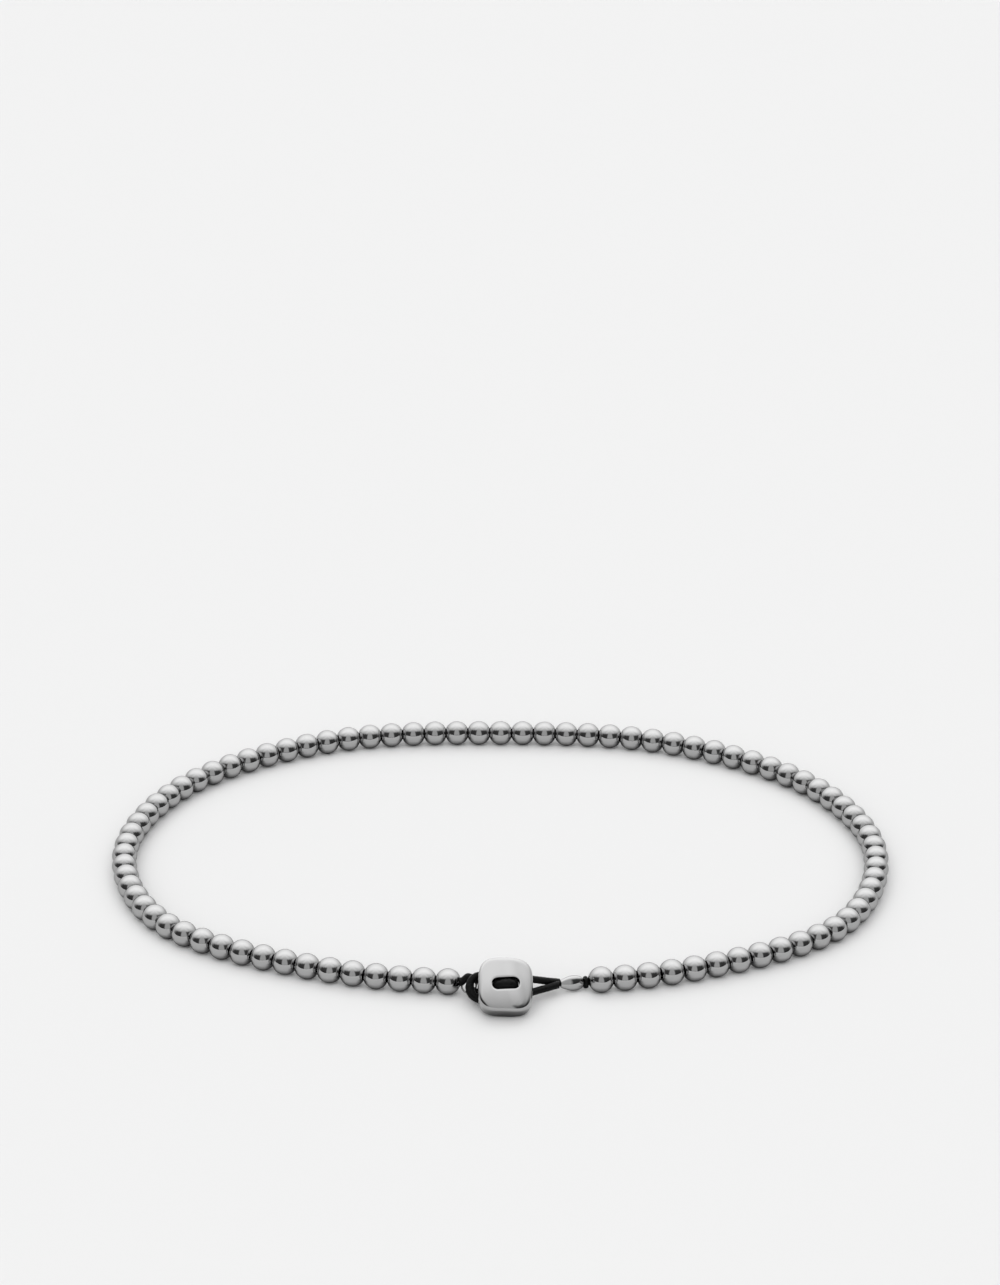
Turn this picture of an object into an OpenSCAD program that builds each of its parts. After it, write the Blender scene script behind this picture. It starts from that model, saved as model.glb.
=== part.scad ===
// Beaded bracelet, lying closed on a flat surface. Millimetres, +Z up, the surface at Z = 0.
// A string of drilled metal balls is closed at the front (-Y) by a cushion-shaped metal button
// that a black cord loop passes round. The origin is the middle of the wrist opening.

/* [Beads] */
// Number of balls on the string
bead_count = 85; // [75:1:90]
// Diameter across a ball
bead_d = 2.3; // [2.2:0.05:2.35]
// Length of a ball between its two flattened ends
bead_len = 1.92; // [1.8:0.02:1.92]
// Diameter of the hole through a ball
bore_d = 0.9; // [0.8:0.05:1]
// Distance from ball to ball along the string
bead_pitch = 2.12; // [2.12:0.01:2.2]

/* [String] */
// Length of the string's open stretch, from the last ball on the left to the first on the right
clasp_gap = 13.4; // [12:0.1:15]
// Diameter of the thread through the balls
thread_d = 0.6; // [0.4:0.05:0.6]
// Diameter of the waxed cord of the clasp
cord_d = 0.62; // [0.5:0.01:0.64]

/* [Button] */
// Width of the button
button_w = 4.76; // [4.5:0.02:5]
// Length of the button from its lower to its upper edge
button_h = 4.95; // [4.6:0.05:5]
// Thickness of the button at its side wall
button_t = 2; // [1.8:0.05:2.1]
// Rise of the domed face in its middle above the side wall
button_dome = 0.12; // [0.06:0.02:0.2]
// Radius of the rounded edges
button_edge = 0.35; // [0.2:0.05:0.4]
// Squareness of the outline: 2 is round, higher is squarer
button_square = 3.4; // [2.6:0.1:5]
// Angle of the button from lying flat
button_lean = 42; // [40:1:46]
// Length of the slot
slot_l = 2.45; // [2.4:0.05:2.6]
// Width of the slot
slot_w = 1.1; // [1.1:0.05:1.3]
// Turn of the slot, its right end up
slot_turn = 5; // [3:1:7]

/* [Small parts] */
// Length of the slide bead
slide_l = 2.1; // [1.9:0.02:2.12]
// Largest diameter of the slide bead
slide_d = 1.32; // [1.2:0.02:1.5]
// Diameter of the hole through the slide bead
slide_bore_d = 0.44; // [0.4:0.02:0.46]
// Diameter of the knot
knot_d = 1.1; // [0.9:0.05:1.2]
// Thickness of the knot along the string
knot_l = 0.38; // [0.3:0.02:0.4]
// Diameter of the wire of the eye
wire_d = 0.18; // [0.16:0.02:0.24]
// Diameter of the eye, from wire middle to wire middle
eye_d = 1.26; // [1.2:0.02:1.3]

/* [Hidden] */

METAL = "silver";
CORD = "#161616";
ROUND_SIDES = 48;

// The string's middle line as it lies: x, y of twelve places, from the front middle round
// the left side, the back and the right side
LIE = [
    [0.3, -25.0], [-15.8, -22.4], [-29.9, -14.2], [-34.5, 0.0],
    [-29.4, 14.1], [-16.4, 23.2], [-0.1, 25.1], [16.2, 22.9],
    [29.0, 14.1], [34.5, 0.4], [30.4, -14.4], [16.5, -22.6]
];
// Steps from one place to the next
LIE_STEPS = 16;
// Where the last ball on the left sits: its distance along the string from the first place
FIRST_BEAD_AT = 4.85;
// How far past that ball's middle the thread begins
THREAD_START = 0.1;
string_z = bead_d / 2;
loop_l = (bead_count - 1) * bead_pitch + clasp_gap;

// Middle of the button, half way through its side wall, and its turn in its own plane
BUTTON_AT = [0.45, -27.75];
BUTTON_ROLL = 1;
BUTTON_POINTS = 56;
// Radius of the slot's softened mouth
SLOT_LIP = 0.06;
// Slope of the face in degrees at one edge, in the middle and at the other edge: left to right,
// and lower to upper edge
FACE_ACROSS = [-4, 3, 31];
FACE_UP = [-11, 4.5, 7];

// The closure loop's route: from the slide bead along the upper strand, round the button's
// cord on the left and back along the lower strand. Columns: x, y, z, share of the full diameter
LOOP_ROUTE = [
    [5.13, -24.40, 0.87, 0.95], [4.97, -24.44, 0.91, 1], [4.60, -24.62, 1.05, 1],
    [4.20, -24.88, 1.24, 1.02], [3.75, -25.08, 1.41, 1.04], [2.90, -25.50, 1.76, 1.02],
    [1.75, -25.75, 2.10, 1], [0.45, -25.65, 2.25, 1], [-0.85, -25.60, 2.30, 1],
    [-1.85, -25.65, 2.25, 1], [-2.40, -25.90, 2.00, 1], [-2.66, -26.25, 1.58, 1],
    [-2.58, -26.70, 1.15, 1], [-2.08, -27.14, 0.76, 1], [-1.10, -27.34, 0.60, 1],
    [0.35, -27.34, 0.68, 1], [1.75, -27.00, 0.88, 1], [2.90, -26.30, 0.96, 1.02],
    [3.75, -25.80, 0.97, 1.04], [4.20, -25.56, 0.97, 1.02], [4.60, -25.28, 0.96, 1],
    [4.97, -25.07, 0.96, 1], [5.13, -25.04, 0.95, 0.95]
];
// The button cord's route: out of the last ball on the left, up and over, through the loop,
// up through the slot, down again and back towards the left. Columns as above
STEM_ROUTE = [
    [-4.20, -24.90, 1.15, 1], [-3.68, -24.91, 1.18, 1], [-3.42, -24.93, 1.23, 1.28],
    [-3.22, -24.93, 1.34, 1.05], [-3.06, -24.92, 1.48, 1], [-2.80, -24.92, 1.70, 1],
    [-2.45, -25.02, 1.66, 1], [-1.90, -25.25, 1.46, 1], [-1.20, -25.65, 1.22, 1],
    [-0.60, -26.15, 1.20, 1], [-0.30, -26.75, 1.35, 1], [-0.22, -27.30, 1.80, 1],
    [-0.29, -27.59, 2.09, 1.12], [-0.33, -27.84, 2.33, 1.24], [-0.24, -28.08, 2.58, 1.42],
    [0.05, -28.25, 2.77, 1.36], [0.45, -28.28, 2.83, 1.42], [0.85, -28.21, 2.80, 1.50],
    [1.13, -28.03, 2.63, 1.48], [1.21, -27.80, 2.37, 1.28], [1.17, -27.56, 2.11, 1.15],
    [1.10, -27.25, 1.83, 1], [1.05, -26.85, 1.40, 1], [0.75, -26.45, 0.90, 1],
    [0.15, -26.30, 0.58, 1], [-0.55, -26.22, 0.48, 1], [-1.30, -25.98, 0.52, 1],
    [-1.95, -25.80, 0.64, 1], [-2.50, -25.55, 0.80, 1], [-2.70, -25.18, 0.90, 0.95],
    [-2.71, -24.86, 0.78, 0.8]
];
CORD_SIDES = 8;
CORD_STEPS = 2;

// Left tip of the slide bead, its slope down to the right, its heading and the angle that its
// flattened sides lean back
SLIDE_AT = [5.26, -24.70, 0.90];
SLIDE_FALL = 5;
SLIDE_TURN = 17;
SLIDE_LEAN = 6;
// Columns: distance from the slide bead's left tip as a share of its length, then the half height
// and half depth of its section there as shares of half its diameter
SLIDE_SHAPE = [[0, 0.46, 0.42], [0.06, 0.54, 0.44], [0.14, 0.66, 0.47], [0.26, 0.81, 0.51],
               [0.39, 0.94, 0.55], [0.52, 1.00, 0.57], [0.65, 0.99, 0.56], [0.77, 0.94, 0.53],
               [0.87, 0.85, 0.49], [0.95, 0.72, 0.46], [1, 0.58, 0.43]];
SLIDE_POINTS = 32;
// Clearance between the slide bead and the knot, and round the cord inside the slide bead
KNOT_GAP = 0.04;
CORE_GAP = 0.04;
// Middle of the wire eye, and the angle that it leans back from upright
EYE_AT = [-2.71, -24.66, 0.68];
EYE_LEAN = 29;

// Geometry helpers

// A point of the smooth curve through b and c, with a and d next to them, at t from 0 to 1
function between(a, b, c, d, t) =
    (2 * b + (c - a) * t + (2 * a - 5 * b + 4 * c - d) * t * t
     + (3 * b - a - 3 * c + d) * t * t * t) / 2;

// The smooth open curve through a route's rows
function smooth(route, steps) = let (last = len(route) - 1) [
    for (i = [0 : last - 1], k = [0 : steps - 1])
        between(route[max(i - 1, 0)], route[i], route[i + 1], route[min(i + 2, last)], k / steps),
    route[last]
];

function unit(v) = v / norm(v);
function place(row) = [row[0], row[1], row[2]];

// The sideways direction carried along a tube without twisting, one for each ring
function carried(along, first) = [
    for (i = 0, side = first - (first * along[0]) * along[0];
         i < len(along);
         i = i + 1, side = i < len(along) ? side - (side * along[i]) * along[i] : side)
        unit(side)
];

// A tube along rows of x, y, z and share of the diameter d, with closed ends
module tube(rows, d, sides, first = [0, 0, 1]) {
    last = len(rows) - 1;
    along = [for (i = [0 : last])
        unit(place(rows[min(i + 1, last)]) - place(rows[max(i - 1, 0)]))];
    side = carried(along, first);
    points = [for (i = [0 : last], k = [0 : sides - 1])
        let (turn = 360 * k / sides, r = rows[i][3] * d / 2)
            place(rows[i]) + r * (cos(turn) * side[i] + sin(turn) * cross(along[i], side[i]))];
    walls = [for (i = [0 : last - 1], k = [0 : sides - 1])
        let (a = i * sides + k, b = i * sides + (k + 1) % sides)
            each [[a, a + sides, b], [b, a + sides, b + sides]]];
    ends = [[for (k = [0 : sides - 1]) k],
            [for (k = [sides - 1 : -1 : 0]) last * sides + k]];
    polyhedron(points, concat(walls, ends));
}

// The skin of a ring: rows of n points each, up its outside and down its inside, joined in a circle
module ring_skin(points, n) {
    count = len(points) / n;
    faces = [for (i = [0 : count - 1], k = [0 : n - 1])
        let (a = i * n + k, b = i * n + (k + 1) % n,
             c = ((i + 1) % count) * n + k, d = ((i + 1) % count) * n + (k + 1) % n)
            each [[a, c, b], [b, c, d]]];
    polyhedron(points, faces);
}

// The string's lie, scaled so that its length round is loop_l

lie_points = [for (i = [0 : len(LIE) - 1], k = [0 : LIE_STEPS - 1])
    let (n = len(LIE))
        between(LIE[(i + n - 1) % n], LIE[i], LIE[(i + 1) % n], LIE[(i + 2) % n], k / LIE_STEPS)];
lie_count = len(lie_points);
function step_l(i) = norm(lie_points[(i + 1) % lie_count] - lie_points[i % lie_count]);
lie_at = [for (i = 0, s = 0; i <= lie_count; i = i + 1, s = s + step_l(i - 1)) s];
lie_scale = loop_l / lie_at[lie_count];
lie_x = [for (i = [0 : lie_count]) [lie_at[i] * lie_scale, lie_points[i % lie_count][0] * lie_scale]];
lie_y = [for (i = [0 : lie_count]) [lie_at[i] * lie_scale, lie_points[i % lie_count][1] * lie_scale]];

// The string's place at a distance along it, and its heading there
function on_string(s) = let (t = (s % loop_l + loop_l) % loop_l) [lookup(t, lie_x), lookup(t, lie_y)];
function heading(s) =
    let (reach = bead_pitch / 4, d = on_string(s + reach) - on_string(s - reach)) atan2(d[1], d[0]);
function bead_at(i) = FIRST_BEAD_AT + i * bead_pitch;

// One ball: its outline is turned round the hole, which lies along X
module bead() {
    rotate([0, 90, 0]) rotate_extrude($fn = ROUND_SIDES) difference() {
        intersection() {
            circle(d = bead_d);
            square([2 * bead_d, bead_len], center = true);
        }
        translate([-bead_d, -bead_d]) square([bead_d + bore_d / 2, 2 * bead_d]);
    }
}

// All the balls, each set square to the string
module bead_string() {
    color(METAL) for (i = [0 : bead_count - 1]) {
        s = bead_at(i);
        translate([on_string(s)[0], on_string(s)[1], string_z]) rotate([0, 0, heading(s)]) bead();
    }
}

// The thread through the balls, from inside the last ball on the left to the knot on the right
module stringing_thread() {
    last = bead_count - 1;
    stops = concat([bead_at(0) + THREAD_START], [for (i = [1 : last]) bead_at(i)],
                   [bead_at(last) + bead_len / 2]);
    rows = [for (s = stops) [on_string(s)[0], on_string(s)[1], string_z, 1]];
    color(CORD) tube(rows, thread_d, CORD_SIDES);
}

// Outline of the button at an angle, drawn in by inset
function power(v, p) = sign(v) * pow(abs(v), p);
function cushion(turn, inset) = [
    (button_w / 2 - inset) * power(cos(turn), 2 / button_square),
    (button_h / 2 - inset) * power(sin(turn), 2 / button_square)
];

// Outline of the round-ended slot at the same angle, grown by more
function round_ended(turn, more) =
    let (half = (slot_l - slot_w) / 2, r = slot_w / 2,
         quarter = 90 * r + half * 180 / PI,
         t = quarter * (turn % 90) / 90,
         q = floor(turn / 90),
         back = q % 2 == 1,
         run = back ? quarter - t : t,
         on_cap = run < 90 * r,
         swing = on_cap ? run / r : 90,
         x = (on_cap ? half : half - (run - 90 * r) * PI / 180) + (r + more) * cos(swing),
         y = (r + more) * sin(swing))
    [q == 1 || q == 2 ? -x : x, q >= 2 ? -y : y];

function turned(p, turn) = [p[0] * cos(turn) - p[1] * sin(turn), p[0] * sin(turn) + p[1] * cos(turn)];

// How far the domed face has fallen at a share of the way to its edge, as a share of that way
function fallen(share, slopes) =
    let (low = tan(slopes[0]), middle = tan(slopes[1]), high = tan(slopes[2]))
    middle * share + (high - low) / 4 * pow(share, 2) + ((low + high) / 2 - middle) / 3 * pow(share, 3);
function face_rise(p) =
    button_dome - button_w / 2 * fallen(2 * p[0] / button_w, FACE_ACROSS)
    - button_h / 2 * fallen(2 * p[1] / button_h, FACE_UP);

// The button's skin goes round its section. Columns: share of the way from the slot to the
// outer edge, inset from the edge, growth of the slot, height above the middle before doming
function button_rows() =
    let (e = button_edge, top = button_t / 2, lip = SLOT_LIP)
    concat(
        [for (turn = [0 : 18 : 90]) [1, e * (1 - cos(turn)), 0, top - e + e * sin(turn)]],
        [for (w = [0.8, 0.6, 0.4, 0.2]) [w, e, 0, top]],
        [for (turn = [90 : -30 : 0]) [0, e, lip * (1 - cos(turn)), top - lip + lip * sin(turn)]],
        [for (turn = [0 : -45 : -90]) [0, e, lip * (1 - cos(turn)), lip - top + lip * sin(turn)]],
        [for (turn = [-90 : 30 : 0]) [1, e * (1 - cos(turn)), 0, e - top + e * sin(turn)]]
    );

module button() {
    n = BUTTON_POINTS;
    points = [for (row = button_rows(), k = [0 : n - 1])
        let (turn = 360 * k / n,
             flat = row[0] * cushion(turn, row[1])
                    + (1 - row[0]) * turned(round_ended(turn, row[2]), slot_turn))
            [flat[0], flat[1], row[3] + (row[3] > 0 ? face_rise(flat) : 0)]];
    lowest = min([for (p = points)
        sin(button_lean) * (p[1] * cos(BUTTON_ROLL) - p[0] * sin(BUTTON_ROLL))
        + cos(button_lean) * p[2]]);
    color(METAL) translate([BUTTON_AT[0], BUTTON_AT[1], -lowest])
        rotate([button_lean, 0, 0]) rotate([0, 0, -BUTTON_ROLL]) ring_skin(points, n);
}

module button_cord() {
    color(CORD) tube(smooth(STEM_ROUTE, CORD_STEPS), cord_d, CORD_SIDES);
}

module closure_loop() {
    color(CORD) tube(smooth(LOOP_ROUTE, CORD_STEPS), cord_d, CORD_SIDES);
}

// Puts what is drawn along +Z on the slide bead's axis, from its left tip towards the right
module along_slide() {
    translate(SLIDE_AT) rotate([0, 90 + SLIDE_FALL, SLIDE_TURN]) children();
}

// The tapered, flattened bead that gathers the loop's two strands
module slide_bead() {
    r = slide_d / 2;
    bore = slide_bore_d / 2;
    rows = concat([for (row = SLIDE_SHAPE) [row[1] * r, row[2] * r, row[0] * slide_l]],
                  [[bore, bore, slide_l], [bore, bore, 0]]);
    n = SLIDE_POINTS;
    points = [for (row = rows, k = [0 : n - 1])
        let (turn = 360 * k / n) [row[0] * cos(turn), row[1] * sin(turn), row[2]]];
    color(METAL) along_slide() rotate([0, 0, -SLIDE_LEAN]) ring_skin(points, n);
}

// The knot, with the cord that runs from it through the slide bead
module end_knot() {
    core_r = slide_bore_d / 2 - CORE_GAP;
    start = slide_l + KNOT_GAP;
    color(CORD) along_slide() rotate_extrude($fn = ROUND_SIDES) union() {
        translate([0, CORE_GAP]) square([core_r, start]);
        translate([0, start]) square([(knot_d - knot_l) / 2, knot_l]);
        translate([(knot_d - knot_l) / 2, start + knot_l / 2]) circle(d = knot_l);
    }
}

// The fine wire eye by the last ball on the left
module wire_eye() {
    color(METAL) translate(EYE_AT) rotate([90 - EYE_LEAN, 0, 0]) rotate_extrude($fn = ROUND_SIDES)
        translate([eye_d / 2, 0]) circle(d = wire_d);
}

bead_string();
stringing_thread();
button();
button_cord();
closure_loop();
slide_bead();
end_knot();
wire_eye();
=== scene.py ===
import bpy
import math
import random
from mathutils import Matrix, Vector, noise


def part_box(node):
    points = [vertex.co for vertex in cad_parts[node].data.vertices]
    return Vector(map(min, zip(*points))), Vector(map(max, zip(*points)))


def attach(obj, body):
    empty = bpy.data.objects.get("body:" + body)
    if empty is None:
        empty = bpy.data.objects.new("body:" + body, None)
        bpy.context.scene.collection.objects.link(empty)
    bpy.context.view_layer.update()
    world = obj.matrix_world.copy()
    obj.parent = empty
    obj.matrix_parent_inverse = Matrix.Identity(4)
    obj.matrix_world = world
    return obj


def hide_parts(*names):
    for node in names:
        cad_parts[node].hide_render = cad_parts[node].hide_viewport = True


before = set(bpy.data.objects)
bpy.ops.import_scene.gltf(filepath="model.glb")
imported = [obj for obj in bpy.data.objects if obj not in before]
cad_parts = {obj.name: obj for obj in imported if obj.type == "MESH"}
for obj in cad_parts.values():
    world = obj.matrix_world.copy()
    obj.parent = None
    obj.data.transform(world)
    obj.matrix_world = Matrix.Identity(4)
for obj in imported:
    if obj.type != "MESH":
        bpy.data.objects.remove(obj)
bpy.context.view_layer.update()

# Camera. A long lens on a tripod in front of the bracelet, looking down on it at about 25 degrees,
# so that the ring shows as a flat oval in the lower half of the frame.
MM = 0.001
CAMERA_AT = Vector((0.0, -378.7, 196.0)) * MM
CAMERA_DOWN = math.radians(24.64)
LENS = 129.5
FILM = 36.0
SEEN_FROM = 20 * MM

camera = bpy.data.objects.new("camera", bpy.data.cameras.new("camera"))
bpy.context.scene.collection.objects.link(camera)
camera.location = CAMERA_AT
camera.rotation_euler = (math.pi / 2 - CAMERA_DOWN, 0, 0)
camera.data.lens = LENS
camera.data.sensor_width = FILM
camera.data.clip_start = SEEN_FROM
bpy.context.scene.camera = camera
bpy.context.scene.view_settings.view_transform = "Standard"


# Silver balls. Each is a ball of polished silver alloy with a hole drilled through and its two ends
# ground flat, tumbled until the edges are soft. They lie side by side, a hair's breadth apart.
BALL_D = 2.3 * MM
BALL_LENGTH = 2.03 * MM
BALL_BORE_D = 0.68 * MM
BALL_RIM = 0.11 * MM
BALL_RIM_STEPS = 3
BALL_MOUTH = 0.04 * MM
BALL_MOUTH_STEPS = 2
BALL_POINTS = 36
BALL_TURNS = 40
# How far a ball may tilt on the thread, and how far and over what distance it is out of round
BALL_TILT = math.radians(1.2)
BALL_UNEVEN = 0.022 * MM
BALL_WAVE = 1.1 * MM
BALL_SEED = 7
# Side of the field of waves in which each ball has a place of its own
WAVE_FIELD = 100
# The silver's colour seen straight on and at grazing angles
SILVER = "#acacac"
SILVER_EDGE = "#cccccc"
POLISH_ROUGHNESS = 0.05
POLISH_HAZE = (0.015, 0.04)
POLISH_GRAIN = 0.09 * MM
POLISH_RIPPLE = 0.8 * MM
POLISH_RIPPLE_DEPTH = 0.003 * MM
# Points closer together than DOUBLE are merged, and places are told apart to within NEAR
DOUBLE = 0.0005 * MM
NEAR = 0.001 * MM


def linear(hex_colour):
    """An sRGB hex colour as linear red, green, blue and alpha."""
    shares = [int(hex_colour[i:i + 2], 16) / 255 for i in (1, 3, 5)]
    return [s / 12.92 if s <= 0.04045 else ((s + 0.055) / 1.055) ** 2.4 for s in shares] + [1]


def add_node(tree, kind, settings, links):
    """Adds a node. Settings name its values or input sockets, and links name sockets that others feed."""
    added = tree.nodes.new(kind)
    for name, value in settings.items():
        if isinstance(name, int) or name in added.inputs:
            added.inputs[name].default_value = value
        else:
            setattr(added, name, value)
    for name, source in links.items():
        tree.links.new(source, added.inputs[name])
    return added


def start_material(name, colour, metallic, roughness):
    """A new material, with its node tree and its surface shader ready for patterns."""
    material = bpy.data.materials.new(name)
    material.use_nodes = True
    shader = material.node_tree.nodes["Principled BSDF"]
    shader.inputs["Base Color"].default_value = linear(colour)
    shader.inputs["Metallic"].default_value = metallic
    shader.inputs["Roughness"].default_value = roughness
    return material, material.node_tree, shader


def worked_silver(name, roughness, haze, grain, ripple, ripple_depth):
    """Silver with a gloss that a fine grain makes uneven, and with faint ripples in its surface."""
    material, tree, shader = start_material(name, SILVER, 1, roughness)
    place = add_node(tree, "ShaderNodeTexCoord", {}, {}).outputs["Object"]
    grains = add_node(tree, "ShaderNodeTexNoise", {"Scale": 1 / grain, "Detail": 2}, {"Vector": place})
    gloss = add_node(tree, "ShaderNodeMapRange", {"To Min": haze[0], "To Max": haze[1]},
                     {"Value": grains.outputs["Fac"]})
    waves = add_node(tree, "ShaderNodeTexNoise", {"Scale": 1 / ripple, "Detail": 1}, {"Vector": place})
    uneven = add_node(tree, "ShaderNodeBump", {"Strength": 1, "Distance": ripple_depth},
                      {"Height": waves.outputs["Fac"]})
    tree.links.new(gloss.outputs["Result"], shader.inputs["Roughness"])
    tree.links.new(uneven.outputs["Normal"], shader.inputs["Normal"])
    return material, shader


def pick(*pieces):
    """Selects these pieces alone, or nothing, and makes the first of them active."""
    bpy.ops.object.select_all(action="DESELECT")
    for piece in pieces:
        piece.select_set(True)
    if pieces:
        bpy.context.view_layer.objects.active = pieces[0]


def select_parts(piece, kind, chosen):
    """Selects in edit mode the vertices, edges or faces whose corners all pass the test."""
    bpy.ops.mesh.select_mode(type=kind)
    bpy.ops.mesh.select_all(action="DESELECT")
    bpy.ops.object.mode_set(mode="OBJECT")
    mesh = piece.data
    passed = [chosen(vertex.co) for vertex in mesh.vertices]
    if kind == "VERT":
        for vertex in mesh.vertices:
            vertex.select = passed[vertex.index]
    else:
        for part in mesh.edges if kind == "EDGE" else mesh.polygons:
            part.select = all(passed[i] for i in part.vertices)
    bpy.ops.object.mode_set(mode="EDIT")


def close_skin():
    """Merges doubles, points every face outwards, leaves edit mode and shades the piece smooth."""
    bpy.ops.mesh.select_all(action="SELECT")
    bpy.ops.mesh.remove_doubles(threshold=DOUBLE)
    bpy.ops.mesh.normals_make_consistent(inside=False)
    bpy.ops.object.mode_set(mode="OBJECT")
    bpy.ops.object.shade_smooth()


def finish_piece(piece, name, material, slot, *nodes):
    """Names a piece, gives it its one material and sets it in the place of its CAD nodes."""
    piece.name = piece.data.name = name
    piece.data.materials.clear()
    piece.data.materials.append(material)
    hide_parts(*nodes)
    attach(piece, "root")


# Polished silver: a mirror, but one finished in a tumbler. A fine grain, drawn much coarser than the
# real one so that it shows, and faint ripples soften what it mirrors. The tint keeps it grey at
# grazing angles, where it would otherwise turn white.
polished_silver, shader = worked_silver("polished_silver", POLISH_ROUGHNESS, POLISH_HAZE, POLISH_GRAIN,
                                        POLISH_RIPPLE, POLISH_RIPPLE_DEPTH)
shader.inputs["Specular Tint"].default_value = linear(SILVER_EDGE)

# The places of the balls are those of the drilled balls in the frame. They are put in order from the
# button round the left side, the back and the right side.
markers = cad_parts["bead_string"].copy()
markers.data = markers.data.copy()
markers.parent = None
bpy.context.scene.collection.objects.link(markers)
pick(markers)
bpy.ops.object.mode_set(mode="EDIT")
bpy.ops.mesh.select_all(action="SELECT")
bpy.ops.mesh.remove_doubles(threshold=NEAR)
bpy.ops.mesh.separate(type="LOOSE")
bpy.ops.object.mode_set(mode="OBJECT")
ball_places = []
for marker in list(bpy.context.selected_objects):
    corners = [Vector(corner) for corner in marker.bound_box]
    ball_places.append(sum(corners, Vector()) / len(corners))
    bpy.data.objects.remove(marker)
ball_places.sort(key=lambda place: math.atan2(place.x, place.y) % (2 * math.pi))
front = next(i for i, place in enumerate(ball_places) if place.x < 0 and place.y < 0)
ball_places = ball_places[front:] + ball_places[:front]

# One ball: half its outline, with the flat ends and the hole cut off it and the corners between them
# softened, is turned round the hole
pick()
bpy.ops.mesh.primitive_circle_add(vertices=BALL_POINTS, radius=BALL_D / 2, fill_type="NGON",
                                  rotation=(math.pi / 2, 0, 0))
ball = bpy.context.object
bpy.ops.object.transform_apply(rotation=True)
bpy.ops.object.mode_set(mode="EDIT")
for cut_at, away in [((BALL_LENGTH / 2, 0, 0), (1, 0, 0)), ((-BALL_LENGTH / 2, 0, 0), (-1, 0, 0)),
                     ((0, 0, BALL_BORE_D / 2), (0, 0, -1))]:
    bpy.ops.mesh.select_all(action="SELECT")
    bpy.ops.mesh.bisect(plane_co=cut_at, plane_no=away, clear_outer=True, use_fill=False)
rim_height = math.sqrt((BALL_D / 2) ** 2 - (BALL_LENGTH / 2) ** 2)
select_parts(ball, "VERT", lambda co: abs(co.z - rim_height) < NEAR)
bpy.ops.mesh.bevel(offset=BALL_RIM, segments=BALL_RIM_STEPS, affect="VERTICES")
select_parts(ball, "VERT", lambda co: co.z < BALL_BORE_D / 2 + NEAR)
bpy.ops.mesh.bevel(offset=BALL_MOUTH, segments=BALL_MOUTH_STEPS, affect="VERTICES")
bpy.ops.mesh.select_all(action="SELECT")
bpy.ops.mesh.delete(type="ONLY_FACE")
bpy.ops.mesh.select_all(action="SELECT")
bpy.ops.mesh.spin(steps=BALL_TURNS, angle=2 * math.pi, center=(0, 0, 0), axis=(1, 0, 0))
close_skin()

# The string of balls: each copy is a little out of round in its own way, so no two mirror the room
# alike, and it is turned along the string, with the slight tilt of a loose ball
loose = random.Random(BALL_SEED)
balls = []
last = len(ball_places) - 1
for i, place in enumerate(ball_places):
    along = ball_places[min(i + 1, last)] - ball_places[max(i - 1, 0)]
    copy = ball.copy()
    copy.data = ball.data.copy()
    bpy.context.scene.collection.objects.link(copy)
    grown = Vector([loose.uniform(0, WAVE_FIELD) for axis in range(3)])
    for vertex in copy.data.vertices:
        vertex.co += BALL_UNEVEN * noise.noise(vertex.co / BALL_WAVE + grown) * vertex.co.normalized()
    tilt = Matrix.Rotation(loose.uniform(-BALL_TILT, BALL_TILT), 4, "Y")
    roll = Matrix.Rotation(loose.uniform(0, 2 * math.pi), 4, "X")
    heading = Matrix.Rotation(math.atan2(along.y, along.x), 4, "Z")
    copy.data.transform(Matrix.Translation(place) @ heading @ tilt @ roll)
    balls.append(copy)
bpy.data.objects.remove(ball)
pick(*balls)
bpy.ops.object.join()
finish_piece(balls[0], "silver_balls", polished_silver, "polished_silver", "bead_string")


# Stringing thread. A twisted black polyester thread that runs through every ball and shows only in
# the narrow gaps between them. It is unwaxed, so it looks matt.
THREAD_ROUGHNESS = 0.8
THREAD_FIBRE = 0.05 * MM
THREAD_SHADES = ("#060606", "#141414")


def draw_fibres(tree, shader, fibres, shades, strength, relief):
    """Lets a pattern of fibres shade a black cord from its darkest to its lightest, and roughen it."""
    shade = add_node(tree, "ShaderNodeValToRGB", {}, {"Fac": fibres.outputs["Fac"]})
    for element, colour in zip(shade.color_ramp.elements, shades):
        element.color = linear(colour)
    fuzz = add_node(tree, "ShaderNodeBump", {"Strength": strength, "Distance": relief},
                    {"Height": fibres.outputs["Fac"]})
    tree.links.new(shade.outputs["Color"], shader.inputs["Base Color"])
    tree.links.new(fuzz.outputs["Normal"], shader.inputs["Normal"])


# Matt black thread: spun fibres with no wax, which scatter what little light reaches them. They are
# drawn twice as coarse as real ones, so that they show.
matt_thread, tree, shader = start_material("matt_black_thread", THREAD_SHADES[1], 0, THREAD_ROUGHNESS)
place = add_node(tree, "ShaderNodeTexCoord", {}, {}).outputs["Object"]
fibres = add_node(tree, "ShaderNodeTexNoise", {"Scale": 1 / THREAD_FIBRE, "Detail": 3}, {"Vector": place})
draw_fibres(tree, shader, fibres, THREAD_SHADES, 1, THREAD_FIBRE / 2)
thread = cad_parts["stringing_thread"]
thread.data.materials.clear()
thread.data.materials.append(matt_thread)


# Button. A cushion-shaped button cast in silver alloy, with a round-ended slot through its middle,
# a slightly domed face and softened edges. It leans on the cords behind it, on its lower edge.
BUTTON_W = 4.76 * MM
BUTTON_H = 4.96 * MM
BUTTON_T = 2 * MM
BUTTON_FRONT_EDGE = 0.32 * MM
BUTTON_BACK_EDGE = 0.4 * MM
BUTTON_EDGE_STEPS = 6
BUTTON_DOME = 0.12 * MM
# Power of the outline's superellipse, which is round at 2 and squarer above
BUTTON_SQUARE = 3.4
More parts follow.
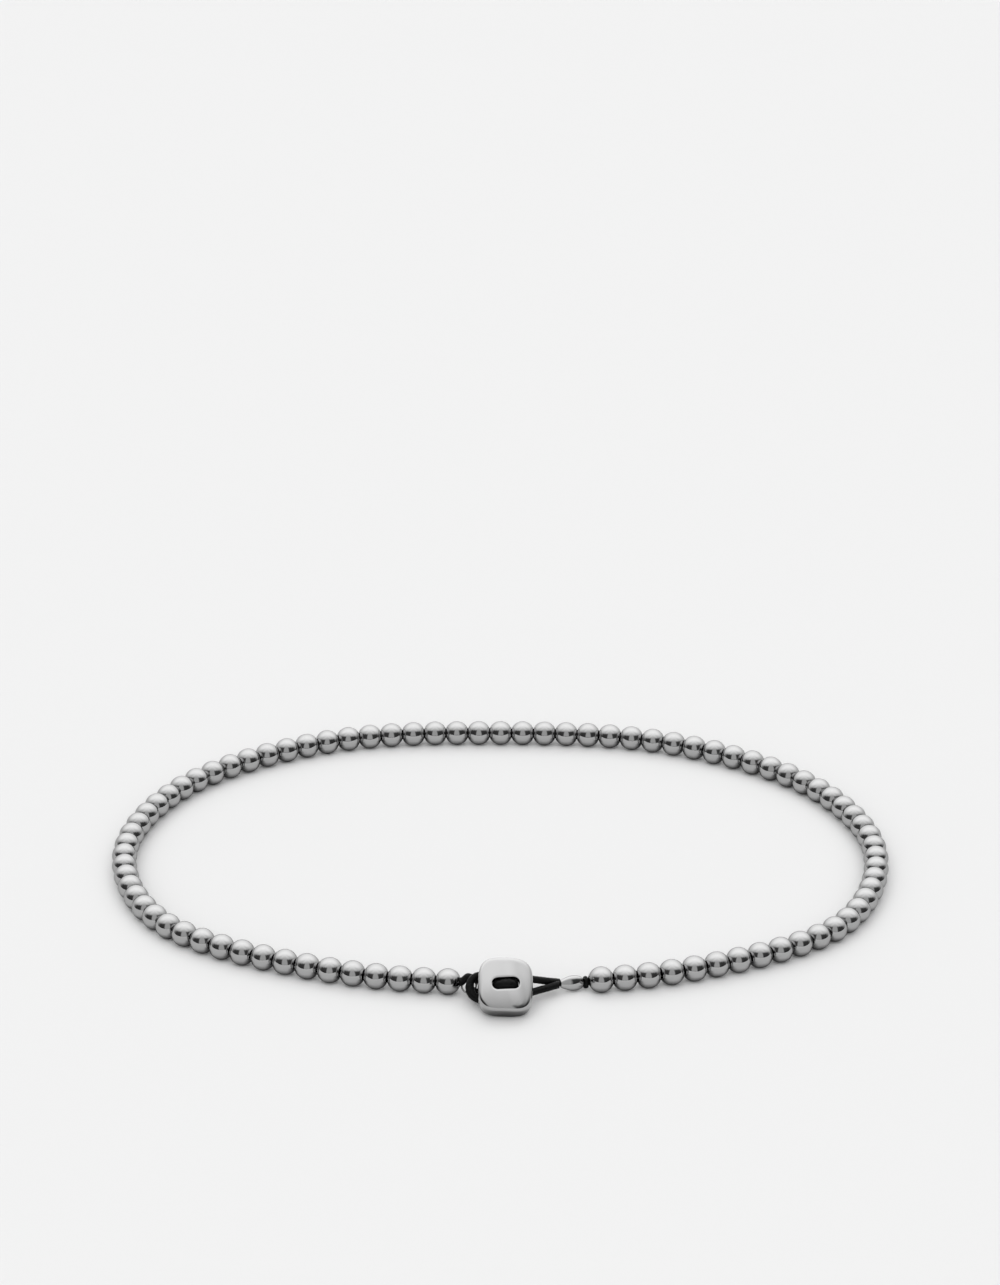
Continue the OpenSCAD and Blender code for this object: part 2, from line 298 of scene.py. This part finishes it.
# The button is raised from lying flat, turned a little to the right and rolled a little clockwise
BUTTON_LEAN = math.radians(42)
BUTTON_TURN = math.radians(3)
BUTTON_ROLL = math.radians(1)
# Slope of the face in degrees at one edge, in the middle and at the other edge
FACE_ACROSS = (-7, 0, 32)
FACE_UP = (-11, 4.5, 7)
FACE_RINGS = 7
SLOT_L = 2.42 * MM
SLOT_W = 1.1 * MM
SLOT_TURN = math.radians(5)
SLOT_LIP = 0.04 * MM
# How far out and how far up each step of the slot's rim goes, as shares of the lip
SLOT_LIP_STEPS = ((0.3, 0.7), (0.7, 0.3))
# A bevel's profile for round corners, and the share of the narrow side that its corners take up
ROUND_PROFILE = 0.5
CORNER_SHARE = 0.96
CORNER_STEPS = 16
SIDE_CUTS = 8
SATIN_ROUGHNESS = 0.1
SATIN_HAZE = (0.06, 0.13)
SATIN_GRAIN = 0.07 * MM
SATIN_RIPPLE = 1.6 * MM
SATIN_RIPPLE_DEPTH = 0.006 * MM


def select_edges(block, chosen):
    """Selects a block's edges whose two ends pass a test together, and leaves it in edit mode."""
    bpy.ops.object.mode_set(mode="EDIT")
    bpy.ops.mesh.select_mode(type="EDGE")
    bpy.ops.mesh.select_all(action="DESELECT")
    bpy.ops.object.mode_set(mode="OBJECT")
    for edge in block.data.edges:
        edge.select = chosen(*(block.data.vertices[i].co for i in edge.vertices))
    bpy.ops.object.mode_set(mode="EDIT")


def rounded_block(width, height, thickness, profile):
    """A block whose four upright edges are rounded until they almost meet, left in edit mode."""
    pick()
    bpy.ops.mesh.primitive_cube_add(size=1, scale=(width, height, thickness))
    block = bpy.context.object
    bpy.ops.object.transform_apply(scale=True)
    select_edges(block, lambda a, b: abs(a.z - b.z) > thickness / 2)
    bpy.ops.mesh.bevel(offset=CORNER_SHARE * min(width, height) / 2, segments=CORNER_STEPS,
                       profile=profile, affect="EDGES")
    return block


def open_ends(block, end, straight):
    """Takes the flat ends off a block in edit mode, and cuts its straight sides along X into strips."""
    for side in (1, -1):
        select_parts(block, "FACE", lambda co: side * co.z > end - NEAR)
        bpy.ops.mesh.delete(type="ONLY_FACE")
    select_edges(block, lambda a, b: abs(a.x - b.x) > NEAR
                 and max(abs(a.x), abs(b.x)) < straight / 2 + NEAR)
    bpy.ops.mesh.subdivide(number_cuts=SIDE_CUTS)


def fallen(share, slopes):
    """How far a domed face has fallen at a share of the way to its edge, as a share of that way."""
    low, middle, high = (math.tan(math.radians(slope)) for slope in slopes)
    return (middle * share + (high - low) / 4 * share ** 2
            + ((low + high) / 2 - middle) / 3 * share ** 3)


# The outline is a square with strongly rounded corners, drawn out a little to its height
button = rounded_block(BUTTON_W, BUTTON_W, BUTTON_T, 2 ** (-2 / BUTTON_SQUARE))
bpy.ops.mesh.select_all(action="SELECT")
bpy.ops.transform.resize(value=(1, BUTTON_H / BUTTON_W, 1))
for side, edge in ((1, BUTTON_FRONT_EDGE), (-1, BUTTON_BACK_EDGE)):
    select_parts(button, "EDGE", lambda co: side * co.z > BUTTON_T / 2 - NEAR)
    bpy.ops.mesh.bevel(offset=edge, segments=BUTTON_EDGE_STEPS, affect="EDGES")
open_ends(button, BUTTON_T / 2, BUTTON_W - CORNER_SHARE * BUTTON_W)
bpy.ops.object.mode_set(mode="OBJECT")

# The slot's wall, its two rims softened, joined to both faces by rings from outline to outline
wall_end = BUTTON_T / 2 - SLOT_LIP
slot_wall = rounded_block(SLOT_L, SLOT_W, 2 * wall_end, ROUND_PROFILE)
open_ends(slot_wall, wall_end, SLOT_L - CORNER_SHARE * SLOT_W)
for side in (1, -1):
    select_parts(slot_wall, "EDGE", lambda co: side * co.z > wall_end - NEAR)
    for out, up in SLOT_LIP_STEPS:
        bpy.ops.mesh.extrude_region()
        wider = 2 * out * SLOT_LIP
        bpy.ops.transform.resize(value=(1 + wider / SLOT_L, 1 + wider / SLOT_W, 1))
        bpy.ops.transform.translate(value=(0, 0, side * up * SLOT_LIP))
bpy.ops.mesh.select_all(action="SELECT")
bpy.ops.mesh.flip_normals()
bpy.ops.object.mode_set(mode="OBJECT")
slot_wall.data.transform(Matrix.Rotation(SLOT_TURN, 4, "Z"))
pick(button, slot_wall)
bpy.ops.object.join()
bpy.ops.object.mode_set(mode="EDIT")
for side in (1, -1):
    select_parts(button, "EDGE", lambda co: side * co.z > BUTTON_T / 2 - NEAR)
    bpy.ops.mesh.bridge_edge_loops(number_cuts=FACE_RINGS, interpolation="LINEAR")
close_skin()

# The front half is domed, and then the broad faces set the shading beside the narrow rounded edges
for vertex in button.data.vertices:
    if vertex.co.z > 0:
        vertex.co.z += BUTTON_DOME - (BUTTON_W / 2 * fallen(vertex.co.x / BUTTON_W * 2, FACE_ACROSS)
                                      + BUTTON_H / 2 * fallen(vertex.co.y / BUTTON_H * 2, FACE_UP))
button.modifiers.new("broad", "WEIGHTED_NORMAL")
bpy.ops.object.modifier_apply(modifier="broad")

# It is turned, and its middle is set where the middle of the frame's button is
button.data.transform(Matrix.Rotation(BUTTON_LEAN, 4, "X") @ Matrix.Rotation(BUTTON_TURN, 4, "Y")
                      @ Matrix.Rotation(-BUTTON_ROLL, 4, "Z"))
low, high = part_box("button")
shift = [(low[axis] + high[axis]) / 2 - (min(v.co[axis] for v in button.data.vertices)
                                         + max(v.co[axis] for v in button.data.vertices)) / 2
         for axis in range(3)]
button.data.transform(Matrix.Translation(shift))

# Satin-polished silver: it mirrors the room less sharply than the balls do, so the face shows one even
# gradient and only the rounded edges carry bright and dark lines. The grain is the trace of the last
# polishing wheel, drawn coarse enough to show.
satin_silver, shader = worked_silver("satin_polished_silver", SATIN_ROUGHNESS, SATIN_HAZE, SATIN_GRAIN,
                                     SATIN_RIPPLE, SATIN_RIPPLE_DEPTH)
finish_piece(button, "silver_button", satin_silver, "button_silver", "button")


# Cords of the clasp. Both are black polyester cord, braided round from fine strands and waxed. One
# holds the button: it comes out of the last ball on the left and makes a stitch through the slot.
# The other is the loop that closes the bracelet: it passes round that cord, behind the button.
CORD_D = 0.62 * MM
CORD_SIDES = 30
CORD_STRANDS = 5
STRAND_PITCH = 0.39 * MM
# Height of the strands as a share of the cord's radius, and the mean of their wave, which is taken off
# it so that the cord keeps its thickness
STRAND_RELIEF = 0.08
STRAND_MEAN = 0.6
RING_STEP = 0.05 * MM
CURVE_STEPS = 12
BRAID = "#080808"
BRAID_ROUGHNESS = 0.45
BRAID_SHADES = ("#030303", "#0b0b0b")
BRAID_FUZZ = 0.02 * MM
BRAID_FUZZ_STRENGTH = 0.6
# Fibres about 0.2 mm long and 0.03 mm wide, and patches of wax about 0.4 mm wide
FIBRE_L = CORD_D / 3
FIBRE_W = CORD_D / 20
WAX_PATCH = CORD_D / 1.5
WAX_SHINE = 0.12
WAX_HAZE = (0.32, 0.6)
WAX_CONTRAST = (0.35, 0.65)
# Columns: x, y, z in millimetres and share of the full diameter
LOOP_ROUTE = [
    (5.20, -24.38, 0.86, 1), (5.00, -24.43, 0.90, 1.05), (4.60, -24.62, 1.05, 1.04),
    (4.20, -24.88, 1.24, 1.02), (3.75, -25.08, 1.41, 1.04), (2.90, -25.50, 1.76, 1.02),
    (1.75, -25.75, 2.10, 1), (0.45, -25.65, 2.25, 1), (-0.85, -25.60, 2.30, 1),
    (-1.85, -25.65, 2.25, 1), (-2.40, -25.90, 2.00, 1.05), (-2.62, -26.25, 1.58, 1.2),
    (-2.52, -26.70, 1.13, 1.28), (-2.02, -27.12, 0.78, 1.15), (-1.10, -27.34, 0.60, 1),
    (0.35, -27.34, 0.68, 1), (1.75, -27.00, 0.88, 1), (2.90, -26.30, 0.96, 1.02),
    (3.75, -25.80, 0.97, 1.04), (4.20, -25.56, 0.97, 1.04), (4.60, -25.28, 0.96, 1.04),
    (5.00, -25.06, 0.96, 1.05), (5.20, -25.02, 0.95, 1),
]
STEM_ROUTE = [
    (-4.20, -24.90, 1.15, 1), (-3.68, -24.91, 1.18, 1), (-3.42, -24.93, 1.23, 1.28),
    (-3.22, -24.93, 1.34, 1.05), (-3.06, -24.92, 1.48, 1), (-2.80, -24.92, 1.70, 1),
    (-2.45, -25.02, 1.66, 1), (-1.90, -25.25, 1.46, 1), (-1.20, -25.65, 1.22, 1),
    (-0.60, -26.15, 1.20, 1), (-0.30, -26.75, 1.35, 1), (-0.22, -27.30, 1.80, 1),
    (-0.29, -27.59, 2.09, 1.12), (-0.33, -27.84, 2.33, 1.24), (-0.24, -28.08, 2.58, 1.42),
    (0.05, -28.25, 2.77, 1.36), (0.45, -28.28, 2.83, 1.42), (0.85, -28.21, 2.80, 1.50),
    (1.13, -28.03, 2.63, 1.48), (1.21, -27.80, 2.37, 1.28), (1.17, -27.56, 2.11, 1.15),
    (1.10, -27.25, 1.83, 1), (1.05, -26.85, 1.40, 1), (0.75, -26.45, 0.90, 1),
    (0.15, -26.30, 0.58, 1), (-0.55, -26.22, 0.48, 1), (-1.30, -25.98, 0.52, 1),
    (-1.95, -25.80, 0.64, 1), (-2.50, -25.55, 0.80, 1), (-2.70, -25.18, 0.90, 0.95),
    (-2.71, -24.86, 0.78, 0.8),
]


def smooth_rows(route):
    """Rows on the smooth curve through a route's rows."""
    rows = [Vector(row) for row in route]
    last = len(rows) - 1
    curve = []
    for i in range(last):
        a, b, c, d = rows[max(i - 1, 0)], rows[i], rows[i + 1], rows[min(i + 2, last)]
        for t in (step / CURVE_STEPS for step in range(CURVE_STEPS)):
            curve.append((2 * b + (c - a) * t + (2 * a - 5 * b + 4 * c - d) * t * t
                          + (3 * b - a - 3 * c + d) * t * t * t) / 2)
    return curve + [rows[last]]


def even_rows(curve, step):
    """Rows at equal steps along a curve."""
    even = [curve[0]]
    ahead = step
    for a, b in zip(curve, curve[1:]):
        length = (b.xyz - a.xyz).length
        while ahead < length:
            even.append(a.lerp(b, ahead / length))
            ahead += step
        ahead -= length
    return even


def braided_cord(route, diameter):
    """A braided cord along a route in millimetres, with its strands in relief and a map of its surface."""
    rows = even_rows(smooth_rows(route), RING_STEP / MM)
    last = len(rows) - 1
    side = Vector((0, 0, 1))
    points = []
    for i, row in enumerate(rows):
        along = (rows[min(i + 1, last)].xyz - rows[max(i - 1, 0)].xyz).normalized()
        side = (side - side.dot(along) * along).normalized()
        for k in range(CORD_SIDES):
            turn = k / CORD_SIDES
            twist = i * RING_STEP / STRAND_PITCH
            strand = math.sin(math.pi * (CORD_STRANDS * turn + twist))
            crossing = math.sin(math.pi * (CORD_STRANDS * turn - twist))
            bulge = 1 + STRAND_RELIEF * (math.sqrt(abs(strand * crossing)) - STRAND_MEAN)
            spoke = math.cos(math.tau * turn) * side + math.sin(math.tau * turn) * along.cross(side)
            points.append(row.xyz * MM + row.w * diameter / 2 * bulge * spoke)
    faces = [(i * CORD_SIDES + k, i * CORD_SIDES + (k + 1) % CORD_SIDES,
              (i + 1) * CORD_SIDES + (k + 1) % CORD_SIDES, (i + 1) * CORD_SIDES + k)
             for i in range(last) for k in range(CORD_SIDES)]
    faces.append(tuple(range(CORD_SIDES - 1, -1, -1)))
    faces.append(tuple(last * CORD_SIDES + k for k in range(CORD_SIDES)))
    mesh = bpy.data.meshes.new("cord")
    mesh.from_pydata(points, [], faces)
    surface = mesh.uv_layers.new(name="surface")
    for face in mesh.polygons:
        for corner, i in zip(face.loop_indices, face.vertices):
            turn = i % CORD_SIDES / CORD_SIDES
            if turn == 0 and face.vertices[1] % CORD_SIDES == 0:
                turn = 1
            surface.data[corner].uv = (i // CORD_SIDES * RING_STEP / diameter, turn * math.pi)
    cord = bpy.data.objects.new("cord", mesh)
    bpy.context.scene.collection.objects.link(cord)
    pick(cord)
    bpy.ops.object.mode_set(mode="EDIT")
    close_skin()
    return cord


# Waxed black braid: near black, with a low broken sheen where the wax lies on the strands, and
# fine fibres along the cord. The fibres are drawn twice as coarse as real ones, so that they show.
# The surface map counts in diameters of the cord, so a pattern's scale is its count to a diameter.
waxed_braid, tree, shader = start_material("waxed_black_braid", BRAID, 0, BRAID_ROUGHNESS)
shader.inputs["Specular IOR Level"].default_value = WAX_SHINE
surface = add_node(tree, "ShaderNodeTexCoord", {}, {}).outputs["UV"]
drawn = add_node(tree, "ShaderNodeMapping", {"Scale": (CORD_D / FIBRE_L, CORD_D / FIBRE_W, 1)},
                 {"Vector": surface})
fibres = add_node(tree, "ShaderNodeTexNoise", {"Scale": 1, "Detail": 2},
                  {"Vector": drawn.outputs["Vector"]})
draw_fibres(tree, shader, fibres, BRAID_SHADES, BRAID_FUZZ_STRENGTH, BRAID_FUZZ)
wax = add_node(tree, "ShaderNodeTexNoise", {"Scale": CORD_D / WAX_PATCH, "Detail": 2}, {"Vector": surface})
sheen = add_node(tree, "ShaderNodeMapRange",
                 {"From Min": WAX_CONTRAST[0], "From Max": WAX_CONTRAST[1],
                  "To Min": WAX_HAZE[0], "To Max": WAX_HAZE[1]}, {"Value": wax.outputs["Fac"]})
tree.links.new(sheen.outputs["Result"], shader.inputs["Roughness"])

button_braid = braided_cord(STEM_ROUTE, CORD_D)
finish_piece(button_braid, "button_braid", waxed_braid, "black_waxed_cord", "button_cord")
loop_braid = braided_cord(LOOP_ROUTE, CORD_D)
finish_piece(loop_braid, "loop_braid", waxed_braid, "black_waxed_cord", "closure_loop")


# Slide bead. A small tapered silver bead, flattened, drilled and polished, that gathers the two
# strands of the loop. Its narrow end faces the button, and the knot keeps it in place.
SLIDE_L = 2.1 * MM
SLIDE_D = 1.36 * MM
SLIDE_BORE_D = 0.44 * MM
# Its left tip, its slope down to the right, its heading, and how far its section leans
SLIDE_AT = Vector((5.26, -24.70, 0.87)) * MM
SLIDE_FALL = math.radians(5)
SLIDE_TURN = math.radians(17)
SLIDE_LEAN = math.radians(15)
# Power of the section's points between the tips. Under 1 it makes the section's sides flatter and its
# shoulders fuller.
SLIDE_FLATNESS = 0.8
SLIDE_POINTS = 40
SLIDE_RIM = 0.03 * MM
SLIDE_RIM_STEPS = 2
# Columns: distance from the left tip as a share of the length, then the section's half height and
# half depth there as shares of half the diameter
SLIDE_SHAPE = [(0, 0.46, 0.42), (0.06, 0.54, 0.44), (0.14, 0.66, 0.48), (0.26, 0.81, 0.54),
               (0.39, 0.94, 0.60), (0.52, 1.00, 0.64), (0.65, 0.99, 0.63), (0.77, 0.94, 0.58),
               (0.87, 0.84, 0.51), (0.95, 0.71, 0.45), (1, 0.56, 0.42)]
slide_axis = (Matrix.Translation(SLIDE_AT) @ Matrix.Rotation(SLIDE_TURN, 4, "Z")
              @ Matrix.Rotation(math.pi / 2 + SLIDE_FALL, 4, "Y") @ Matrix.Rotation(-SLIDE_LEAN, 4, "Z"))

# A tube with a ring of points for each row of the shape, then its two end faces and its bore
pick()
bpy.ops.mesh.primitive_cylinder_add(vertices=SLIDE_POINTS, radius=SLIDE_D / 2, depth=SLIDE_L,
                                    end_fill_type="NOTHING", location=(0, 0, SLIDE_L / 2))
slide = bpy.context.object
bpy.ops.object.transform_apply(location=True)
select_edges(slide, lambda a, b: abs(a.z - b.z) > SLIDE_L / 2)
bpy.ops.mesh.subdivide(number_cuts=len(SLIDE_SHAPE) - 2)
bpy.ops.object.mode_set(mode="OBJECT")
for vertex in slide.data.vertices:
    share, high, deep = SLIDE_SHAPE[round(vertex.co.z / SLIDE_L * (len(SLIDE_SHAPE) - 1))]
    power = SLIDE_FLATNESS if 0 < share < 1 else 1
    across, out = (math.copysign(abs(part / SLIDE_D * 2) ** power, part) * SLIDE_D / 2
                   for part in vertex.co.xy)
    vertex.co = (across * high, out * deep, share * SLIDE_L)
bpy.ops.object.mode_set(mode="EDIT")
bore = SLIDE_BORE_D / SLIDE_D
for end, high, deep in ((0, *SLIDE_SHAPE[0][1:]), (SLIDE_L, *SLIDE_SHAPE[-1][1:])):
    select_parts(slide, "EDGE", lambda co: abs(co.z - end) < NEAR)
    bpy.ops.mesh.extrude_region()
    bpy.ops.transform.resize(value=(bore / high, bore / deep, 1))
select_parts(slide, "EDGE", lambda co: co.xy.length < SLIDE_BORE_D / 2 + NEAR)
bpy.ops.mesh.bridge_edge_loops()
select_parts(slide, "EDGE", lambda co: co.xy.length > SLIDE_BORE_D / 2 + NEAR
             and min(co.z, SLIDE_L - co.z) < NEAR)
bpy.ops.mesh.bevel(offset=SLIDE_RIM, segments=SLIDE_RIM_STEPS, affect="EDGES")
select_parts(slide, "EDGE", lambda co: co.xy.length < SLIDE_BORE_D / 2 + NEAR
             and min(co.z, SLIDE_L - co.z) < NEAR)
bpy.ops.mesh.bevel(offset=SLIDE_RIM / 2, segments=SLIDE_RIM_STEPS, affect="EDGES")
close_skin()
slide.modifiers.new("smooth", "SUBSURF")
bpy.ops.object.modifier_apply(modifier="smooth")
slide.modifiers.new("broad", "WEIGHTED_NORMAL")
bpy.ops.object.modifier_apply(modifier="broad")
slide.data.transform(slide_axis)
finish_piece(slide, "silver_slide", polished_silver, "polished_silver", "slide_bead")


# Knot. The cord that comes out of the slide bead is wound round itself and pulled tight, which
# makes a small hard knot between the slide bead and the first ball on the right. Its sizes are in
# millimetres, as the cords' routes are.
KNOT_D = 1.1
KNOT_L = 0.38
KNOT_CORD_D = 0.3
KNOT_CORE_D = 0.42
KNOT_TURNS = 2
KNOT_GAP = 0.04
STEPS_A_TURN = 10


def beside_slide(out, turn, ahead):
    """A row of a cord's route, given by its place round and along the slide bead's middle line."""
    place = slide_axis @ (Vector((out * math.cos(turn), out * math.sin(turn), ahead)) * MM)
    return (*(place / MM), 1)


knot_start = SLIDE_L / MM + KNOT_GAP
core_route = [beside_slide(0, 0, ahead) for ahead in (KNOT_GAP, knot_start / 2, knot_start + KNOT_L)]
winding = []
for step in range(KNOT_TURNS * STEPS_A_TURN + 1):
    share = step / (KNOT_TURNS * STEPS_A_TURN)
    ahead = knot_start + KNOT_CORD_D / 2 + share * (KNOT_L - KNOT_CORD_D)
    winding.append(beside_slide((KNOT_D - KNOT_CORD_D) / 2, share * KNOT_TURNS * math.tau, ahead))
knot = braided_cord(winding, KNOT_CORD_D * MM)
core = braided_cord(core_route, KNOT_CORE_D * MM)
pick(knot, core)
bpy.ops.object.join()
finish_piece(knot, "knot_braid", waxed_braid, "black_waxed_cord", "end_knot")


# Wire eye. A ring of fine silver wire at the left end, which the cord hides but for short stretches.
# It is bent from drawn wire.
WIRE_ROUGHNESS = 0.14
WIRE_HAZE = (0.1, 0.22)
WIRE_MARKS = 0.06 * MM

# Drawn silver wire: the die leaves small marks that make its gloss uneven, so it shines less sharply
# than the balls
drawn_silver, tree, shader = start_material("drawn_silver_wire", SILVER, 1, WIRE_ROUGHNESS)
place = add_node(tree, "ShaderNodeTexCoord", {}, {}).outputs["Object"]
marks = add_node(tree, "ShaderNodeTexNoise", {"Scale": 1 / WIRE_MARKS, "Detail": 1}, {"Vector": place})
gloss = add_node(tree, "ShaderNodeMapRange", {"To Min": WIRE_HAZE[0], "To Max": WIRE_HAZE[1]},
                 {"Value": marks.outputs["Fac"]})
tree.links.new(gloss.outputs["Result"], shader.inputs["Roughness"])
wire_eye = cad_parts["wire_eye"]
wire_eye.data.materials.clear()
wire_eye.data.materials.append(drawn_silver)


# Floor. A sheet of pale matt paper, on which the bracelet lies. It is metres wide, so that its far
# edge stays near the horizon.
FLOOR = "#dcdcdc"
FLOOR_WIDTH = 12
FLOOR_CLEARANCE = 0.02 * MM
PAPER_ROUGHNESS = 0.9
PAPER_SHINE = 0.1
# How far, and with how many rays, the painted contact shade on the paper looks for nearby pieces
CONTACT_SHADE_REACH = 0.9 * MM
CONTACT_SHADE_SAMPLES = 8
bpy.ops.mesh.primitive_plane_add(size=FLOOR_WIDTH, location=(0, 0, -FLOOR_CLEARANCE))
floor = bpy.context.object
floor.name = "floor"

# Pale paper: matt, so that it shows soft shadows and no gloss. The silver also mirrors the dark lines where
# pieces touch it, deeper than a soft light draws them, so what a mirror shows of the paper carries painted
# shade: its colour is darkened close beside and under the pieces, as far as they close in on it.
pale_paper, tree, shader = start_material("pale_paper", FLOOR, 0, PAPER_ROUGHNESS)
shader.inputs["Specular IOR Level"].default_value = PAPER_SHINE
path = add_node(tree, "ShaderNodeLightPath", {}, {})
# Painted shade: the paper's colour is darkened by how closely pieces surround it, for mirrored rays only
contact_shade = add_node(tree, "ShaderNodeAmbientOcclusion",
                  {"Distance": CONTACT_SHADE_REACH, "samples": CONTACT_SHADE_SAMPLES}, {})
mirrored_shade = add_node(tree, "ShaderNodeMath", {"operation": "POWER"},
                {0: contact_shade.outputs["AO"], 1: path.outputs["Is Glossy Ray"]})
paper_with_painted_shade = add_node(tree, "ShaderNodeVectorMath", {"operation": "SCALE", 0: linear(FLOOR)[:3]},
                 {"Scale": mirrored_shade.outputs[0]})
tree.links.new(paper_with_painted_shade.outputs["Vector"], shader.inputs["Base Color"])
floor.data.materials.append(pale_paper)


# Studio. Two tables say how bright the room is. Each row is a bearing in degrees from the camera's
# side, with pairs of height in degrees and brightness, and the room is built alike on both sides.
# Height in degrees of the point overhead
OVERHEAD = 90
# The silver mirrors white walls and a wide white top behind and above it. Two dark walls stand on
# the camera's side and leave a pale gap in the middle. The values are as bright as the silver shows
# them, which is MIRRORED times as bright as the room.
MIRRORED = 0.41
MIRRORED_STUDIO = [
    (22, [(0, .27), (44, .28), (54, .33), (66, .46), (78, .60), (90, .71)]),
    (31, [(0, .02), (39, .04), (45, .12), (50, .33), (56, .40), (66, .52), (78, .63), (90, .71)]),
    (55, [(0, .02), (34, .03), (39, .10), (43, .34), (50, .43), (60, .52), (72, .62), (90, .71)]),
    (78, [(0, .02), (26, .03), (30, .10), (34, .33), (41, .38), (50, .42), (60, .50), (72, .61),
          (90, .71)]),
    (92, [(0, .06), (12, .08), (20, .14), (26, .33), (36, .41), (48, .56), (60, .66), (90, .71)]),
    (108, [(0, .25), (12, .29), (19, .38), (27, .48), (37, .60), (48, .71), (60, .74), (90, .71)]),
    (122, [(0, .35), (12, .38), (24, .54), (38, .70), (54, .77), (90, .71)]),
    (144, [(0, .50), (24, .63), (36, .71), (48, .79), (60, .81), (90, .71)]),
    (170, [(0, .73), (30, .75), (50, .80), (70, .84), (90, .71)]),
]
# The floor and the cords are lit by a long soft light in front, a weaker one behind and a wide one
# above, and a little more from the left, so the shadows are short and soft
SOFT_STUDIO = [
    (35, [(0, .88), (16, .80), (30, 2.60), (46, 3.00), (58, 1.80), (90, 1.21)]),
    (75, [(0, .88), (14, .40), (32, .20), (44, .30), (58, 1.25), (90, 1.21)]),
    (105, [(0, .88), (14, .40), (32, .10), (44, .20), (58, 1.25), (90, 1.21)]),
    (145, [(0, .88), (16, .50), (30, .90), (46, 1.50), (58, 1.50), (90, 1.21)]),
]
MORE_ON_LEFT = 0.15
# Sockets of a Mix node: the two colours that go in and the one that comes out
COLOUR_A = 6
COLOUR_B = 7
MIXED = 2
world = bpy.data.worlds.new("studio")
bpy.context.scene.world = world
world.use_nodes = True
tree = world.node_tree

# Height of a direction as a share of a quarter turn, and its bearing from the camera's side
facing = add_node(tree, "ShaderNodeTexCoord", {}, {}).outputs["Generated"]
parts = add_node(tree, "ShaderNodeSeparateXYZ", {}, {0: facing}).outputs
rise = add_node(tree, "ShaderNodeMath", {"operation": "ARCSINE"}, {0: parts["Z"]})
height = add_node(tree, "ShaderNodeMath", {"operation": "DIVIDE", 1: math.pi / 2}, {0: rise.outputs[0]})
flipped = add_node(tree, "ShaderNodeMath", {"operation": "MULTIPLY", 1: -1.0}, {0: parts["Y"]})
bearing = add_node(tree, "ShaderNodeMath", {"operation": "ARCTAN2"}, {0: parts["X"], 1: flipped.outputs[0]})
turn = add_node(tree, "ShaderNodeMath", {"operation": "ABSOLUTE"}, {0: bearing.outputs[0]})


def room_light(table, shown_by):
    """The light of a table's room, with its rows blended from bearing to bearing."""
    light = None
    bearing_from = 0
    for bearing_to, stops in table:
        row = add_node(tree, "ShaderNodeValToRGB", {}, {"Fac": height.outputs[0]})
        # A new stop starts halfway up, and gets its own height below
        while len(row.color_ramp.elements) < len(stops):
            row.color_ramp.elements.new(0.5)
        for element, (degrees, shown) in zip(row.color_ramp.elements, stops):
            element.position = degrees / OVERHEAD
            element.color = [shown / shown_by] * 3 + [1]
        if light:
            share = add_node(tree, "ShaderNodeMapRange",
                             {"From Min": math.radians(bearing_from), "From Max": math.radians(bearing_to)},
                             {0: turn.outputs[0]}).outputs[0]
            light = add_node(tree, "ShaderNodeMix", {"data_type": "RGBA"},
                             {0: share, COLOUR_A: light, COLOUR_B: row.outputs["Color"]}).outputs[MIXED]
        else:
            light = row.outputs["Color"]
        bearing_from = bearing_to
    return light


# Rays that leave a shiny surface meet the mirrored studio, and all others the soft one
sides = add_node(tree, "ShaderNodeMath", {"operation": "MULTIPLY_ADD", 1: -MORE_ON_LEFT, 2: 1.0},
                 {0: parts["X"]})
soft = add_node(tree, "ShaderNodeVectorMath", {"operation": "SCALE"},
                {0: room_light(SOFT_STUDIO, 1), "Scale": sides.outputs[0]})
path = add_node(tree, "ShaderNodeLightPath", {}, {})
both = add_node(tree, "ShaderNodeMix", {"data_type": "RGBA"},
                {0: path.outputs["Is Glossy Ray"], COLOUR_A: soft.outputs["Vector"],
                 COLOUR_B: room_light(MIRRORED_STUDIO, MIRRORED)})
tree.links.new(both.outputs[MIXED], tree.nodes["Background"].inputs["Color"])
